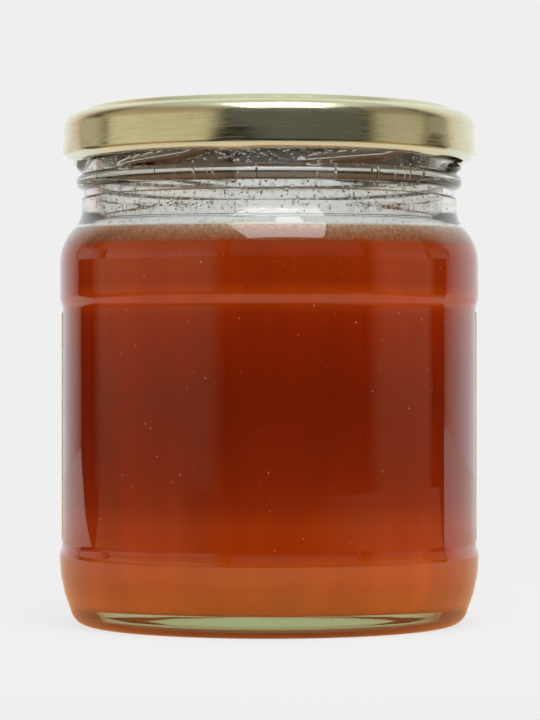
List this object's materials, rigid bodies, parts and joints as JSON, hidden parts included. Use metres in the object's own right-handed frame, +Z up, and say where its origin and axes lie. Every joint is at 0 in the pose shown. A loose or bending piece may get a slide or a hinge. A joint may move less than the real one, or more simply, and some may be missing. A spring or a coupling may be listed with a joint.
{
  "type": "honey jar",
  "caption": "Closed clear glass jar filled with dark amber honey under a thin layer of foam, with a gold lug lid and a plain paper label on its back.",
  "frame": {"origin": "centre of the ring that the jar stands on, at the ground", "axes": "+Z up through the lid, -Y towards the front where no label covers the glass, +X to the right of the front"},
  "size_m": [0.0866, 0.0866, 0.1063],
  "materials": {
    "jar_glass": "clear, smooth, faintly green soda-lime glass",
    "honey": "clear dark amber liquid",
    "foam": "fine wet foam",
    "lid_lacquer": "gold lacquer on tinplate, glossy, lightly scratched",
    "label_paper": "uncoated cream paper with plain printed fields"
  },
  "bodies": {
    "root": {"glass_jar": "jar_glass", "honey": "honey", "honey_foam": "foam", "lid": "lid_lacquer", "label": "label_paper"}
  },
  "joints": []
}
